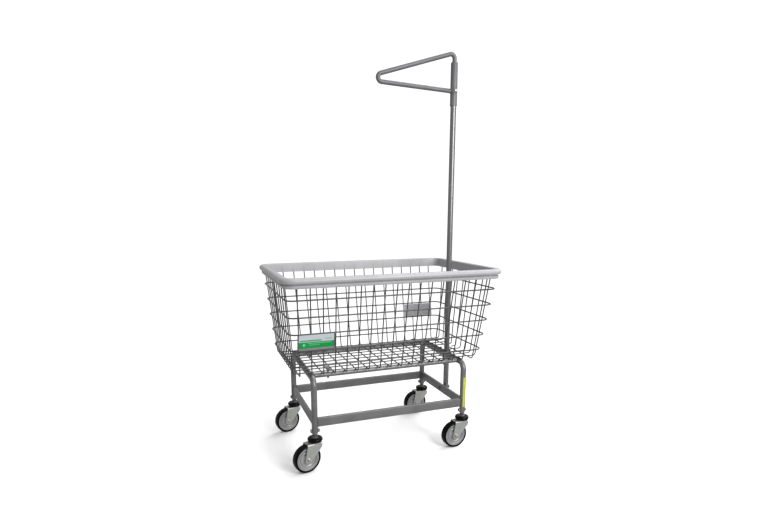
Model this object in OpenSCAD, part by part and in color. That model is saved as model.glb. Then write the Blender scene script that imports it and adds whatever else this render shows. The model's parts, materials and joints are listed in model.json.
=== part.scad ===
// Wire laundry cart with a single garment pole.
// A flared wire basket stands on a tube base with four swivel casters,
// and a post in the basket carries a triangular hanger loop.
// X runs along the cart with the pole end at +X, Y runs across it,
// Z is up and the floor is z = 0.

/* [Basket] */
// Length of the wire floor, between the end walls
floor_l = 838; // [824:2:846]
// Width of the wire floor, between the side walls
floor_w = 412; // [408:2:416]
// Length between the end walls at the rim rod
rim_l = 914; // [908:2:924]
// Width between the side walls at the rim rod
rim_w = 577; // [571:2:583]
// Height of the rim rod above the floor
rim_z = 801; // [790:1:815]
// Diameter of the upright and floor wires
wire_d = 5; // [4:0.1:5]
// Diameter of the horizontal ring wires
ring_d = 6; // [5:0.1:6]
// Number of horizontal rings below the rim
rings = 5; // [5]
// Height of the top ring
ring_top_z = 727; // [719:1:731]
// Height from one ring to the next
ring_pitch = 69.6; // [66:0.1:69.6]
// Corner radius of the rings, along the wire's centre line
ring_corner_r = 32; // [28:1:32]
// Cross wires on each side of the middle one
cross_count = 8; // [8]
// Spacing of the cross wires at the floor
cross_floor_pitch = 49.1; // [48.6:0.1:49.2]
// Spacing of the cross wires at the rim
cross_rim_pitch = 51.2; // [50:0.1:51.4]
// Shift of the cross wires at the floor, away from the pole
cross_floor_shift = 4; // [0:0.5:4]
// Shift of the cross wires at the rim, away from the pole
cross_rim_shift = 7; // [0:0.5:8]
// Long wires on each side of the middle one
long_count = 4; // [4]
// Spacing of the long wires at the floor
long_floor_pitch = 44; // [43:0.1:44]
// Spacing of the long wires at the rim
long_rim_pitch = 57.5; // [56:0.1:58]

/* [Base] */
// Outside diameter of the frame and pole tube
tube_d = 25.4; // [25.4]
// Wall thickness of the tubes
tube_wall = 1.65; // [1.2:0.05:2]
// Distance between the leg centres along the cart
base_l = 686; // [680:1:690]
// Distance between the leg centres across the cart
base_w = 425; // [420:1:430]
// Height of the top of the end frames
frame_top_z = 402; // [402]
// Height of the bottom of the legs
leg_bottom_z = 158; // [155:1:161]
// Centre line radius of the end frame bends
frame_bend_r = 32; // [30:1:36]
// Height of the bottom of the lower rails
lower_rail_z = 187; // [185:1:191]
// Height of the lower rail section
lower_rail_h = 38.1; // [32:0.1:40]
// Thickness of the lower rail section
lower_rail_t = 12.7; // [10:0.1:16]
// Diameter of the two upper rails
top_rail_d = 20; // [18:0.5:20]
// Distance between the two upper rails
top_rail_gap = 336; // [336]

/* [Casters] */
// Diameter of the wheels
wheel_d = 118; // [116:1:119]
// Width of the tyres
tyre_w = 31; // [28:1:32]
// Distance from the swivel axis back to the axle
caster_trail = 40; // [38:0.5:41]
// Angle each caster is turned at rest: front left, front right, rear left, rear right
caster_turn = [15, 4, 13, 2]; // [0:1:30]
// Diameter of the rubber bumper above each fork
bumper_d = 63; // [56:1:64]

/* [Pole] */
// Height of the joint between the two pole tubes
pole_joint_z = 1112; // [1090:1:1140]
// Height of the lower end of the hanger sleeve
sleeve_z = 1514; // [1490:1:1530]
// Length of the hanger sleeve
sleeve_l = 183; // [180:1:190]
// Outside diameter of the hanger sleeve
sleeve_d = 31; // [30:0.1:32]
// Outside diameter of the hanger loop tube
hanger_d = 19; // [19]
// Height of the loop's top corner above the sleeve
hanger_rise = 37; // [36:1:40]
// Slope of the upper bar of the loop, in degrees
hanger_slope = 17.4; // [17:0.1:18]
// Slope of the lower bar of the loop, in degrees
hanger_low_slope = 2.7; // [1:0.1:3]

/* [Hidden] */
$fn = 48;

frame_grey = [0.42, 0.42, 0.43];
wire_grey = [0.45, 0.45, 0.45];
zinc = [0.65, 0.67, 0.64];

// Gap between pieces that are welded or pressed together on the real cart
fit_gap = 0.05;
// Gap between crossing wires
weld_gap = 0.25;

// Bends are this much thicker than the straight lengths, which run into them by the lap
bend_swell = 0.1;
lap = 1;

// Basket wires
wire_bend_r = 12;
cross_z = frame_top_z + wire_d / 2 + 0.1;
long_z = cross_z + wire_d + weld_gap;
wire_top_z = rim_z + 3;
function ramp(z, low, high) = low + (high - low) * (z - cross_z) / (rim_z - cross_z);
function wall_x(z) = ramp(z, floor_l, rim_l) / 2;
function wall_y(z) = ramp(z, floor_w, rim_w) / 2;
function cross_x(i, z) =
    i * ramp(z, cross_floor_pitch, cross_rim_pitch) - ramp(z, cross_floor_shift, cross_rim_shift);
function long_pitch(z) = ramp(z, long_floor_pitch, long_rim_pitch);
side_lean = atan((rim_w - floor_w) / 2 / (rim_z - cross_z));
ring_out = wire_d / 2 + ring_d / 2 + weld_gap;
rim_rod_d = 8;
rim_rod_out = wire_d / 2 + rim_rod_d / 2 + 0.35;
rim_corner_r = 44;

// Rim bumper section, measured from the uprights at the rim rod
bumper_low = rim_z - 27;
bumper_high = rim_z + 14;
bulge_r = 13.5;

// Base
frame_x = base_l / 2;
frame_y = base_w / 2;
tube_r = tube_d / 2;
tube_id = tube_d - 2 * tube_wall;
frame_tube_z = frame_top_z - tube_r;
top_rail_z = frame_top_z - top_rail_d / 2 - 0.5;
bolt_z = leg_bottom_z + 12;
m8 = 8;
m8_hole = 8.4;
m6 = 6;
m6_hole = 6.6;
clip_x = 5.5 * cross_floor_pitch;

// Pole
spacer_t = 3.1;
pole_x = frame_x + tube_r + spacer_t + tube_r;
pole_bottom_z = lower_rail_z;
pole_low_bolt_z = lower_rail_z + lower_rail_h / 2;
pole_upper_top_z = sleeve_z + 115;
hanger_bolt_z = sleeve_z + 62;
hanger_wall = 1.6;
tab_t = 3;

// Casters
wheel_r = wheel_d / 2;
crown_z = wheel_d + 2.1;
crown_t = 3.5;
crown_back = -44;
crown_front = 22;
crown_disc_r = 26;
race_z = crown_z + crown_t + 0.4;
race_t = 1.5;
bumper_z = race_z + race_t + fit_gap;
bumper_h = 17;
washer_z = bumper_z + bumper_h + fit_gap;
fork_in = 19;
fork_t = 3;
fork_out = fork_in + fork_t;
fork_foot_r = 16;
king_d = 12;
king_hole = 12.16;
bush_d = 12;
bush_hole = 12.16;
caster_at = [
    [-frame_x, -frame_y], [frame_x, -frame_y],
    [-frame_x, frame_y], [frame_x, frame_y],
];

// ---------------------------------------------------------------- helpers

function unit(v) = v / norm(v);
function half_angle(p, i) = acos(unit(p[i - 1] - p[i]) * unit(p[i + 1] - p[i])) / 2;
function inset(p, r, i) = i == 0 || i == len(p) - 1 ? 0 : r / tan(half_angle(p, i)) - lap;

// Ring section of a tube, or a full disc where the wall is 0
module tube_2d(od, wall) {
    difference() {
        circle(d = od);
        if (wall > 0)
            circle(d = od - 2 * wall);
    }
}

// Straight length of tube or rod from p to q
module straight(p, q, od, wall) {
    v = q - p;
    translate(p)
        rotate([0, acos(v[2] / norm(v)), atan2(v[1], v[0])])
            linear_extrude(norm(v))
                tube_2d(od, wall);
}

// Tube or rod through a list of points, with each corner bent to radius r
module bent_tube(points, r, od, wall = 0) {
    for (i = [0 : len(points) - 2]) {
        along = unit(points[i + 1] - points[i]);
        start = points[i] + along * inset(points, r, i);
        end = points[i + 1] - along * inset(points, r, i + 1);
        straight(start, end, od, wall);
    }
    for (i = [1 : len(points) - 2]) {
        back = unit(points[i - 1] - points[i]);
        ahead = unit(points[i + 1] - points[i]);
        half = half_angle(points, i);
        c = points[i] + unit(back + ahead) * r / sin(half);
        u = unit(points[i] + back * r / tan(half) - c);
        v = -back;
        w = cross(u, v);
        multmatrix([
            [u[0], v[0], w[0], c[0]],
            [u[1], v[1], w[1], c[1]],
            [u[2], v[2], w[2], c[2]],
            [0, 0, 0, 1],
        ])
            rotate_extrude(angle = 180 - 2 * half)
                translate([r, 0])
                    tube_2d(od + 2 * bend_swell, wall > 0 ? wall + 2 * bend_swell : 0);
    }
}

// Stand a drawing up: its y becomes Z
module in_xz() {
    rotate([90, 0, 0])
        children();
}

// Sweep a 2D section round a rectangle with rounded corners.
// The section's x is measured outwards from the line of the rectangle.
module rounded_loop(half_x, half_y, r) {
    for (i = [0 : 3]) {
        reach = i % 2 == 0 ? half_x : half_y;
        span = i % 2 == 0 ? half_y : half_x;
        sx = i == 0 || i == 3 ? 1 : -1;
        sy = i < 2 ? 1 : -1;
        rotate(90 * i)
            translate([reach, 0, 0])
                rotate([90, 0, 0])
                    linear_extrude(2 * (span - r), center = true)
                        children();
        translate([sx * (half_x - r), sy * (half_y - r), 0])
            rotate(90 * i)
                rotate_extrude(angle = 90)
                    translate([r, 0])
                        children();
    }
}

// Closed rectangle of round wire with rounded corners
module wire_loop(half_x, half_y, r, d) {
    for (i = [0 : 3]) {
        reach = i % 2 == 0 ? half_x : half_y;
        span = (i % 2 == 0 ? half_y : half_x) - r + lap;
        sx = i == 0 || i == 3 ? 1 : -1;
        sy = i < 2 ? 1 : -1;
        rotate(90 * i)
            straight([reach, -span, 0], [reach, span, 0], d, 0);
        translate([sx * (half_x - r), sy * (half_y - r), 0])
            rotate(90 * i)
                rotate_extrude(angle = 90)
                    translate([r, 0])
                        circle(d = d + 2 * bend_swell);
    }
}

// Hex bolt along +Z, with the underside of its head at z = 0 and its nut at z = grip
module hex_bolt(d, grip, head_w, head_h, nut_h) {
    translate([0, 0, -head_h])
        cylinder(d = head_w, h = head_h, $fn = 6);
    translate([0, 0, -0.5])
        cylinder(d = d, h = grip + nut_h + 2.5);
    difference() {
        translate([0, 0, grip])
            cylinder(d = head_w, h = nut_h, $fn = 6);
        translate([0, 0, grip - 1])
            cylinder(d = d + 0.1, h = nut_h + 2);
    }
}

module m8_bolt(grip) {
    hex_bolt(m8, grip, 15, 5.3, 6.5);
}

// Repeat on both sides of the cart
module both_sides() {
    for (s = [-1, 1])
        scale([1, s, 1])
            children();
}

// ---------------------------------------------------------------- base

module end_frame(side) {
    color(frame_grey)
        difference() {
            bent_tube(
                [
                    [side * frame_x, -frame_y, leg_bottom_z],
                    [side * frame_x, -frame_y, frame_tube_z],
                    [side * frame_x, frame_y, frame_tube_z],
                    [side * frame_x, frame_y, leg_bottom_z],
                ],
                frame_bend_r, tube_d, tube_wall
            );
            for (y = [-frame_y, frame_y])
                translate([side * frame_x, y, bolt_z])
                    rotate([0, 90, 0])
                        cylinder(d = m8_hole, h = 40, center = true);
            if (side > 0)
                translate([frame_x, 0, frame_tube_z])
                    rotate([0, 90, 0])
                        cylinder(d = m8_hole, h = 40, center = true);
        }
}

module top_rail(side) {
    y = side * top_rail_gap / 2;
    color(frame_grey)
        difference() {
            translate([0, y, top_rail_z])
                rotate([0, 90, 0])
                    linear_extrude(base_l - tube_r, center = true)
                        tube_2d(top_rail_d, tube_wall);
            for (x = [-frame_x, frame_x])
                translate([x, y, frame_tube_z])
                    rotate([90, 0, 0])
                        cylinder(r = tube_r + fit_gap, h = 60, center = true);
            for (x = [-clip_x, clip_x])
                translate([x, y, top_rail_z])
                    cylinder(d = m6_hole, h = 40, center = true);
        }
}

// Rectangular tube between two legs, with its ends cut to fit round them
module lower_rail(length, drill = false) {
    color(frame_grey)
        difference() {
            translate([0, 0, lower_rail_z + lower_rail_h / 2])
                rotate([0, 90, 0])
                    linear_extrude(length, center = true)
                        difference() {
                            square([lower_rail_h, lower_rail_t], center = true);
                            square(
                                [lower_rail_h - 2 * tube_wall, lower_rail_t - 2 * tube_wall],
                                center = true
                            );
                        }
            for (x = [-length / 2, length / 2])
                translate([x, 0, lower_rail_z - 5])
                    cylinder(r = tube_r + fit_gap, h = lower_rail_h + 10);
            if (drill)
                translate([0, 0, pole_low_bolt_z])
                    rotate([90, 0, 0])
                        cylinder(d = m8_hole, h = 40, center = true);
        }
}

module side_lower_rail(side) {
    translate([0, side * frame_y, 0])
        lower_rail(base_l);
}

module end_lower_rail(side) {
    translate([side * frame_x, 0, 0])
        rotate(90)
            lower_rail(base_w, side > 0);
}

// ---------------------------------------------------------------- basket

// One wire: down the front wall, across the floor and up the rear wall
module cross_wire(i) {
    low = cross_x(i, cross_z);
    high = cross_x(i, wire_top_z);
    bent_tube(
        [
            [high, -wall_y(wire_top_z), wire_top_z],
            [low, -wall_y(cross_z), cross_z],
            [low, wall_y(cross_z), cross_z],
            [high, wall_y(wire_top_z), wire_top_z],
        ],
        wire_bend_r, wire_d
    );
}

module cross_wires() {
    color(wire_grey)
        for (i = [-cross_count : cross_count])
            cross_wire(i);
}

// One wire along the cart: down the left wall, along the floor and up the right wall
module long_wire(i) {
    low = i * long_pitch(long_z);
    high = i * long_pitch(wire_top_z);
    bent_tube(
        [
            [-wall_x(wire_top_z), high, wire_top_z],
            [-wall_x(long_z), low, long_z],
            [wall_x(long_z), low, long_z],
            [wall_x(wire_top_z), high, wire_top_z],
        ],
        wire_bend_r, wire_d
    );
}

module long_wires() {
    color(wire_grey)
        difference() {
            for (i = [-long_count : long_count])
                long_wire(i);
            // The middle wire is cut away round the pole
            translate([pole_x, 0, long_z])
                cube([tube_d + 24, 12, 20], center = true);
        }
}

module ring_wire(i) {
    z = ring_top_z - (i - 1) * ring_pitch;
    color(wire_grey)
        translate([0, 0, z])
            wire_loop(wall_x(z) + ring_out, wall_y(z) + ring_out, ring_corner_r, ring_d);
}

module rim_rod() {
    color(wire_grey)
        translate([0, 0, rim_z])
            wire_loop(
                wall_x(rim_z) + rim_rod_out, wall_y(rim_z) + rim_rod_out,
                rim_corner_r, rim_rod_d
            );
}

// Bulge, flat inner skin and lower lip round a slot that takes the wire ends
module bumper_section() {
    difference() {
        union() {
            translate([-11, bumper_low])
                square([19.5, bumper_high - bumper_low - 0.6]);
            translate([8.5, rim_z])
                circle(r = bulge_r);
        }
        translate([-7.8, bumper_low - 1])
            square([12.8, 20]);
        translate([-7.8, rim_z - 10])
            square([19.6, 17]);
        translate([6.6, bumper_low + 10])
            square([5, 2.6]);
    }
}

module rim_bumper() {
    color([0.8, 0.8, 0.81])
        rounded_loop(wall_x(rim_z), wall_y(rim_z), rim_corner_r - rim_rod_out)
            bumper_section();
}

module basket_clips() {
    z = long_z + wire_d / 2 + 0.1;
    color(zinc)
        for (x = [-clip_x, clip_x])
            both_sides()
                difference() {
                    translate([x - 9, 3 * long_floor_pitch - 6, z])
                        cube([18, long_floor_pitch + 12, 2]);
                    translate([x, top_rail_gap / 2, z - 1])
                        cylinder(d = m6_hole, h = 4);
                }
}

module clip_bolts() {
    z = long_z + wire_d / 2 + 2.15;
    color(zinc)
        for (x = [-clip_x, clip_x])
            both_sides()
                translate([x, top_rail_gap / 2, z])
                    rotate([180, 0, 0])
                        hex_bolt(m6, z - top_rail_z + top_rail_d / 2 + 0.1, 11.5, 4, 5);
}

// Put a flat piece on a side wall: its y runs out of the basket, from the uprights
module on_side_wall(side, x, z) {
    scale([1, side, 1])
        translate([x, wall_y(z), z])
            rotate([-side_lean, 0, 0])
                children();
}

// The sign hangs outside the rings, and the rear plate is welded to the inside of the uprights
panel_t = 1.5;
sign_w = 152;
sign_h = 73;
sign_x = -336;
sign_z = ring_top_z - 2.5 * ring_pitch + 5.5;
sign_y = wire_d / 2 + weld_gap + ring_d + 0.2;
sign_edge = 3;
sign_lip = 2;
plate_w = 160;
plate_h = 62.5;
plate_x = 320;
plate_z = ring_top_z - 2.5 * ring_pitch;
plate_y = -wire_d / 2 - 0.2 - panel_t;

module front_sign_frame() {
    color(frame_grey)
        on_side_wall(-1, sign_x, sign_z)
            difference() {
                translate([-sign_w / 2, sign_y, -sign_h / 2])
                    cube([sign_w, panel_t + sign_lip, sign_h]);
                translate([-sign_w / 2 + sign_edge, sign_y + panel_t, -sign_h / 2 + sign_edge])
                    cube([sign_w - 2 * sign_edge, sign_lip + 1, sign_h - 2 * sign_edge]);
            }
}

module front_sign_card() {
    edge = sign_edge + 0.1;
    color([0.1, 0.62, 0.3])
        on_side_wall(-1, sign_x, sign_z)
            translate([-sign_w / 2 + edge, sign_y + panel_t + fit_gap, -sign_h / 2 + edge])
                cube([sign_w - 2 * edge, 1, sign_h - 2 * edge]);
}

module rear_plate() {
    color([0.38, 0.38, 0.39])
        on_side_wall(1, plate_x, plate_z)
            translate([-plate_w / 2, plate_y, -plate_h / 2])
                cube([plate_w, panel_t, plate_h]);
}

// Plain yellow strip stuck to the right front leg
module leg_label() {
    color([0.86, 0.85, 0.1])
        translate([frame_x, -frame_y, lower_rail_z])
            rotate(246)
                rotate_extrude(angle = 44)
                    translate([tube_r + fit_gap, 0])
                        square([0.35, 138]);
}

// ---------------------------------------------------------------- pole

module pole_tube(bottom, top, bolts) {
    color(frame_grey)
        translate([pole_x, 0, 0])
            difference() {
                translate([0, 0, bottom])
                    linear_extrude(top - bottom)
                        tube_2d(tube_d, tube_wall);
                for (z = bolts)
                    translate([0, 0, z])
                        rotate([0, 90, 0])
                            cylinder(d = m8_hole, h = 40, center = true);
            }
}

module pole_lower() {
    pole_tube(pole_bottom_z, pole_joint_z - 0.1, [pole_low_bolt_z, frame_tube_z]);
}

module pole_upper() {
    color(frame_grey)
        translate([pole_x, 0, 0])
            difference() {
                translate([0, 0, pole_joint_z + 0.1])
                    linear_extrude(pole_upper_top_z - pole_joint_z - 0.1)
                        tube_2d(tube_d, tube_wall);
                translate([0, 0, hanger_bolt_z])
                    rotate([90, 0, 0])
                        cylinder(d = m6_hole, h = 40, center = true);
            }
}

// Tube inside the pole that lines up its two lengths
module pole_coupler() {
    color(zinc)
        translate([pole_x, 0, pole_joint_z - 80])
            linear_extrude(160)
                tube_2d(tube_id - 2 * fit_gap, 2);
}

// Saddle spacers between the pole and the base
module pole_spacers() {
    color(zinc)
        difference() {
            union() {
                translate([frame_x, 0, frame_tube_z])
                    rotate([0, 90, 0])
                        cylinder(d = 20, h = pole_x - frame_x);
                translate([frame_x + lower_rail_t / 2 + fit_gap, 0, pole_low_bolt_z])
                    rotate([0, 90, 0])
                        cylinder(d = 20, h = pole_x - frame_x - lower_rail_t / 2 - fit_gap);
            }
            translate([pole_x, 0, pole_bottom_z - 20])
                cylinder(r = tube_r + fit_gap, h = 300);
            translate([frame_x, 0, frame_tube_z])
                rotate([90, 0, 0])
                    cylinder(r = tube_r + fit_gap, h = 60, center = true);
            for (z = [pole_low_bolt_z, frame_tube_z])
                translate([frame_x, 0, z])
                    rotate([0, 90, 0])
                        cylinder(d = m8_hole, h = 100, center = true);
        }
}

module pole_bolts() {
    outer = pole_x + tube_r + 0.1;
    color(zinc)
        for (b = [
            [frame_tube_z, frame_x - tube_r - 0.1],
            [pole_low_bolt_z, frame_x - lower_rail_t / 2 - 0.1],
        ])
            translate([outer, 0, b[0]])
                rotate([0, -90, 0])
                    m8_bolt(outer - b[1]);
}

// Sleeve with a wide bore for the pole and a narrow one for the loop
module hanger_sleeve() {
    step = pole_upper_top_z + 2 - sleeve_z;
    color(frame_grey)
        translate([pole_x, 0, sleeve_z])
            difference() {
                union() {
                    cylinder(d = sleeve_d, h = sleeve_l - 6);
                    translate([0, 0, sleeve_l - 6])
                        cylinder(d1 = sleeve_d, d2 = sleeve_d - 7, h = 6);
                }
                translate([0, 0, -1])
                    cylinder(d = tube_d + 2 * fit_gap, h = step + 1);
                cylinder(d = hanger_d + 2 * fit_gap, h = sleeve_l + 1);
                translate([0, 0, hanger_bolt_z - sleeve_z])
                    rotate([90, 0, 0])
                        cylinder(d = m6_hole, h = 60, center = true);
            }
}

// Closed triangular loop: its upper bar comes out of the sleeve,
// and its lower bar ends in a tab wrapped round the sleeve
hanger_bend_r = 17.5;
hanger_top = [0, 0, sleeve_z + sleeve_l + hanger_rise];
hanger_end = [-sleeve_d / 2, 0, hanger_bolt_z];
upper_bar = [-cos(hanger_slope), 0, -sin(hanger_slope)];
lower_bar = [-cos(hanger_low_slope), 0, sin(hanger_low_slope)];
upper_bar_l = cross(hanger_end - hanger_top, lower_bar)[1] / cross(upper_bar, lower_bar)[1];
hanger_tip = hanger_top + upper_bar * upper_bar_l;

module hanger_loop() {
    color(frame_grey)
        difference() {
            union() {
                difference() {
                    translate([pole_x, 0, 0])
                        bent_tube(
                            [[0, 0, pole_upper_top_z + 3], hanger_top, hanger_tip, hanger_end],
                            hanger_bend_r, hanger_d, hanger_wall
                        );
                    translate([pole_x, 0, hanger_bolt_z - 30])
                        cylinder(d = sleeve_d + tab_t, h = 60);
                }
                translate([pole_x, 0, hanger_bolt_z - 10])
                    rotate(165)
                        rotate_extrude(angle = 125)
                            translate([sleeve_d / 2 + fit_gap, 0])
                                square([tab_t, 20]);
            }
            translate([pole_x, 0, hanger_bolt_z])
                rotate([90, 0, 0])
                    cylinder(d = m6_hole, h = 60);
        }
}

module hanger_bolt() {
    front = sleeve_d / 2 + tab_t + 0.2;
    color(zinc)
        translate([pole_x, -front, hanger_bolt_z])
            rotate([-90, 0, 0])
                hex_bolt(m6, front + sleeve_d / 2 + 0.1, 11.5, 4, 5);
}

// ---------------------------------------------------------------- casters

module at_corners() {
    for (p = caster_at)
        translate([p[0], p[1], 0])
            children();
}

// Stem, race flange and riveted king pin in one piece
module caster_stem() {
    difference() {
        union() {
            translate([0, 0, crown_z - 6.2])
                cylinder(d = 20, h = 5.9);
            translate([0, 0, crown_z - 5])
                cylinder(d = king_d, h = race_z - crown_z + 6);
            translate([0, 0, race_z])
                cylinder(d = 44, h = race_t);
            translate([0, 0, race_z + 1])
                cylinder(d = 19, h = leg_bottom_z - race_z);
            translate([0, 0, leg_bottom_z])
                cylinder(d = tube_id - 2 * fit_gap, h = 74);
        }
        translate([0, 0, bolt_z])
            rotate([0, 90, 0])
                cylinder(d = m8_hole, h = 40, center = true);
    }
}

module caster_stems() {
    color(frame_grey)
        at_corners()
            caster_stem();
}

module stem_bolts() {
    color(frame_grey)
        for (p = caster_at)
            translate([p[0] + sign(p[0]) * (tube_r + 0.1), p[1], bolt_z])
                rotate([0, p[0] > 0 ? -90 : 90, 0])
                    m8_bolt(tube_d + 0.2);
}

module rubber_bumpers() {
    lobe = bumper_h / 2;
    color([0.1, 0.1, 0.1])
        at_corners()
            translate([0, 0, bumper_z])
                rotate_extrude() {
                    translate([9.6, 0.3])
                        square([bumper_d / 2 - lobe - 9.6, bumper_h - 0.6]);
                    translate([bumper_d / 2 - lobe, lobe])
                        circle(r = lobe);
                }
}

module stem_washers() {
    color(zinc)
        at_corners()
            translate([0, 0, washer_z])
                linear_extrude(2)
                    tube_2d(28, 4.4);
}

// Put a caster piece at its corner, turned to its rest angle.
// A caster is drawn with its swivel axis at the origin and its wheel towards -X.
module at_caster(i) {
    translate([caster_at[i][0], caster_at[i][1], 0])
        rotate(caster_turn[i])
            children();
}

// Outline of a fork leg: wide at the crown, with a slanted leading edge
module fork_leg_2d() {
    polygon([
        [crown_back, crown_z + crown_t],
        [crown_front, crown_z + crown_t],
        [crown_front - 1, crown_z - 14.5],
        [-caster_trail + 11.5, wheel_r - 10],
        [-caster_trail, wheel_r],
        [-caster_trail - 15, wheel_r + 3],
    ]);
    translate([-caster_trail, wheel_r])
        circle(r = fork_foot_r);
}

module fork(i) {
    color(zinc)
        at_caster(i)
            difference() {
                union() {
                    for (y = [-fork_in, fork_out])
                        translate([0, y, 0])
                            in_xz()
                                linear_extrude(fork_t)
                                    fork_leg_2d();
                    translate([crown_back, -fork_out + 0.5, crown_z])
                        cube([crown_front - crown_back, 2 * fork_out - 1, crown_t - 0.01]);
                    translate([0, 0, crown_z])
                        cylinder(r = crown_disc_r, h = crown_t);
                }
                translate([0, 0, crown_z - 1])
                    cylinder(d = king_hole, h = crown_t + 2);
                translate([-caster_trail, 0, wheel_r])
                    rotate([90, 0, 0])
                        cylinder(d = m8_hole, h = 60, center = true);
            }
}

module axle(i) {
    color(zinc)
        at_caster(i)
            translate([-caster_trail, fork_out + 0.1, wheel_r])
                rotate([90, 0, 0])
                    m8_bolt(2 * fork_out + 0.2);
}

// Fixed sleeve on the axle that the wheel turns on
module bush(i) {
    color([0.75, 0.72, 0.6])
        at_caster(i)
            translate([-caster_trail, 0, wheel_r])
                rotate([90, 0, 0])
                    linear_extrude(2 * fork_in - 0.1, center = true)
                        difference() {
                            circle(d = bush_d);
                            circle(d = m8 + 0.2);
                        }
}

// Turn a section of radius and width round the axle
module wheel_turn(i) {
    at_caster(i)
        translate([-caster_trail, 0, wheel_r])
            rotate([90, 0, 0])
                rotate_extrude()
                    children();
}

core_r = wheel_r - 9.5;

module wheel_core(i) {
    color([0.62, 0.62, 0.65])
        wheel_turn(i) {
            translate([bush_hole / 2, -17.5])
                square([8, 35]);
            translate([bush_hole / 2 + 2, -5])
                square([core_r - bush_hole / 2 - 4, 10]);
            translate([core_r - 9, -13.5])
                square([9, 27]);
        }
}

module tyre(i) {
    color([0.08, 0.08, 0.08])
        wheel_turn(i)
            difference() {
                translate([core_r + fit_gap, -tyre_w / 2])
                    square([wheel_r - core_r - fit_gap, tyre_w]);
                for (s = [-1, 1])
                    translate([wheel_r, s * tyre_w / 2])
                        rotate(45)
                            square(5, center = true);
            }
}

// ---------------------------------------------------------------- nodes

end_frame(-1);  // left_end_frame
end_frame(1);  // right_end_frame
top_rail(-1);  // front_top_rail
top_rail(1);  // rear_top_rail
side_lower_rail(-1);  // front_lower_rail
side_lower_rail(1);  // rear_lower_rail
end_lower_rail(-1);  // left_lower_rail
end_lower_rail(1);  // right_lower_rail
cross_wires();
long_wires();
ring_wire(1);  // ring_wire_1
ring_wire(2);  // ring_wire_2
ring_wire(3);  // ring_wire_3
ring_wire(4);  // ring_wire_4
ring_wire(5);  // ring_wire_5
rim_rod();
rim_bumper();
basket_clips();
clip_bolts();
front_sign_frame();
front_sign_card();
rear_plate();
leg_label();
pole_lower();
pole_upper();
pole_coupler();
pole_spacers();
pole_bolts();
hanger_sleeve();
hanger_loop();
hanger_bolt();
caster_stems();
stem_bolts();
rubber_bumpers();
stem_washers();
fork(0);  // fork_fl
axle(0);  // axle_fl
bush(0);  // bush_fl
wheel_core(0);  // wheel_core_fl
tyre(0);  // tyre_fl
fork(1);  // fork_fr
axle(1);  // axle_fr
bush(1);  // bush_fr
wheel_core(1);  // wheel_core_fr
tyre(1);  // tyre_fr
fork(2);  // fork_rl
axle(2);  // axle_rl
bush(2);  // bush_rl
wheel_core(2);  // wheel_core_rl
tyre(2);  // tyre_rl
fork(3);  // fork_rr
axle(3);  // axle_rr
bush(3);  // bush_rr
wheel_core(3);  // wheel_core_rr
tyre(3);  // tyre_rr
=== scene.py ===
"""Wire laundry cart with a garment pole: pieces, materials, floor, light and camera.

Lengths in the making code are millimetres, in the CAD frame, and each piece is scaled to
metres when it is finished. Places come from the CAD nodes' boxes and the record's joints.
"""
import json
import math

import bmesh
import bpy
from mathutils import Matrix, Quaternion, Vector


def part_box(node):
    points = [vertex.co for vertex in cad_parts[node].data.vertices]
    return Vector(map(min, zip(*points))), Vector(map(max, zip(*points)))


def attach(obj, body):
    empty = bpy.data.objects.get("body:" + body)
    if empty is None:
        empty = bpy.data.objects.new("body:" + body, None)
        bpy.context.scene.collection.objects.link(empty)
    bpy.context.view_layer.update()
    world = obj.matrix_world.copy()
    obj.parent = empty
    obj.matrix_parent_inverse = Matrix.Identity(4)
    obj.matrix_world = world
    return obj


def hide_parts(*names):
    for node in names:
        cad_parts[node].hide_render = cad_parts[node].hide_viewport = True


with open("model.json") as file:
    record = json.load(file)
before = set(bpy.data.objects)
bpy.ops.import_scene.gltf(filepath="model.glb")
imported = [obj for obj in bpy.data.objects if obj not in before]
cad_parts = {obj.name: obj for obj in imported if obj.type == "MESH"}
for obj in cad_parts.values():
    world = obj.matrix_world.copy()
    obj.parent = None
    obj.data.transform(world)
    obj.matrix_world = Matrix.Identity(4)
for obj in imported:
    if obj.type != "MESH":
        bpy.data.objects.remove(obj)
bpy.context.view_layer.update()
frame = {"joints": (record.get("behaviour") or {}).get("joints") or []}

MM = 0.001


# ---------------------------------------------------------------- reading the frame


def box(node):
    """Lowest and highest corner of a CAD node, in millimetres."""
    low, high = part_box(node)
    return Vector(low) / MM, Vector(high) / MM


def middle(node):
    low, high = box(node)
    return (low + high) / 2


# ---------------------------------------------------------------- mesh making


class Mesh:
    """Vertices and faces of one piece, in millimetres."""

    def __init__(self):
        self.verts = []
        self.faces = []

    def add(self, verts, faces, place=None):
        base = len(self.verts)
        self.verts += [place @ Vector(v) if place else Vector(v) for v in verts]
        self.faces += [[base + i for i in face] for face in faces]

    def grid(self, rows, wrap_rows=False, wrap_columns=True, cap=False, place=None):
        """A skin over rows of points. Caps close the first and the last row."""
        n, m = len(rows), len(rows[0])
        faces = []
        for i in range(n if wrap_rows else n - 1):
            for j in range(m if wrap_columns else m - 1):
                a, b = i * m, (i + 1) % n * m
                k = (j + 1) % m
                faces.append([a + j, a + k, b + k, b + j])
        if cap:
            faces.append(list(range(m)))
            faces.append([(n - 1) * m + j for j in range(m)])
        self.add([p for row in rows for p in row], faces, place)


def circle(r, sides, turn=0.0):
    """Points of a circle, as (x, y) pairs."""
    return [
        (r * math.cos(math.tau * i / sides + turn), r * math.sin(math.tau * i / sides + turn))
        for i in range(sides)
    ]


def arc(cx, cy, r, start, end, steps):
    """Points on an arc from start to end, in degrees."""
    angles = [math.radians(start + (end - start) * i / steps) for i in range(steps + 1)]
    return [(cx + r * math.cos(a), cy + r * math.sin(a)) for a in angles]


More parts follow.
